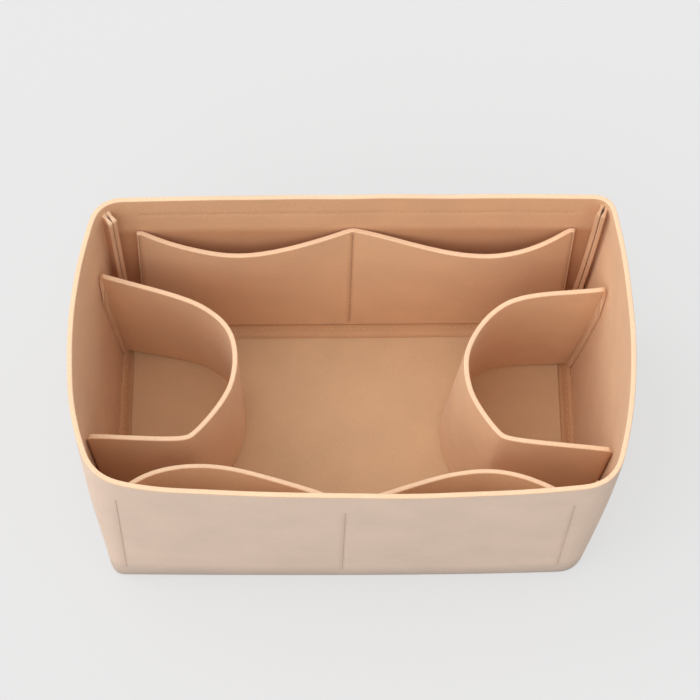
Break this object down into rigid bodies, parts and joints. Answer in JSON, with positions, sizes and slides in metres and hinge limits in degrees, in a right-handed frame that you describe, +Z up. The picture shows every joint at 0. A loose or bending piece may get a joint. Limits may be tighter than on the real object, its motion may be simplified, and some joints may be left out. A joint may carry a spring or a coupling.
{
  "type": "purse organizer insert",
  "caption": "Open-topped felt insert for a handbag, with gaping scalloped pockets along its front and back, a looped bottle holder at each end and a base board that lifts out.",
  "frame": {"origin": "on the surface that the insert stands on, under the middle of the rim", "axes": "+X along the length to the right, +Y to the back wall, +Z up"},
  "size_m": [0.3233, 0.1938, 0.144],
  "materials": {
    "felt": "matte pressed felt, apricot beige",
    "board_felt": "matte pressed felt over a stiff core",
    "thread": "matte sewing thread, a shade darker than the felt"
  },
  "bodies": {
    "box": {"front_wall": "felt", "back_wall": "felt", "left_end_wall": "felt", "right_end_wall": "felt", "bottom_panel": "felt", "front_pocket_panel": "felt", "back_pocket_panel": "felt", "left_bottle_holder": "felt", "right_bottle_holder": "felt", "corner_seam_front_left": "thread", "corner_seam_front_right": "thread", "corner_seam_back_left": "thread", "corner_seam_back_right": "thread", "base_seam": "thread", "front_pocket_seam_left": "thread", "front_pocket_seam_centre": "thread", "front_pocket_seam_right": "thread", "back_pocket_seam_left": "thread", "back_pocket_seam_centre": "thread", "back_pocket_seam_right": "thread", "front_wall_stitch_left": "thread", "front_wall_stitch_centre": "thread", "front_wall_stitch_right": "thread", "back_wall_stitch_left": "thread", "back_wall_stitch_centre": "thread", "back_wall_stitch_right": "thread", "left_holder_seam_front": "thread", "left_holder_seam_back": "thread", "right_holder_seam_front": "thread", "right_holder_seam_back": "thread", "left_end_stitch_front": "thread", "left_end_stitch_back": "thread", "right_end_stitch_front": "thread", "right_end_stitch_back": "thread", "back_rim_stitch_inner": "thread", "back_rim_stitch_outer": "thread"},
    "board": {"base_board": "board_felt"}
  },
  "joints": [
    {"name": "base_lift", "type": "slide", "parent": "box", "child": "board", "axis": [0, 0, 1], "range_m": [0, 0.15], "deforming": ["left_bottle_holder", "right_bottle_holder", "front_pocket_panel", "back_pocket_panel"]}
  ]
}
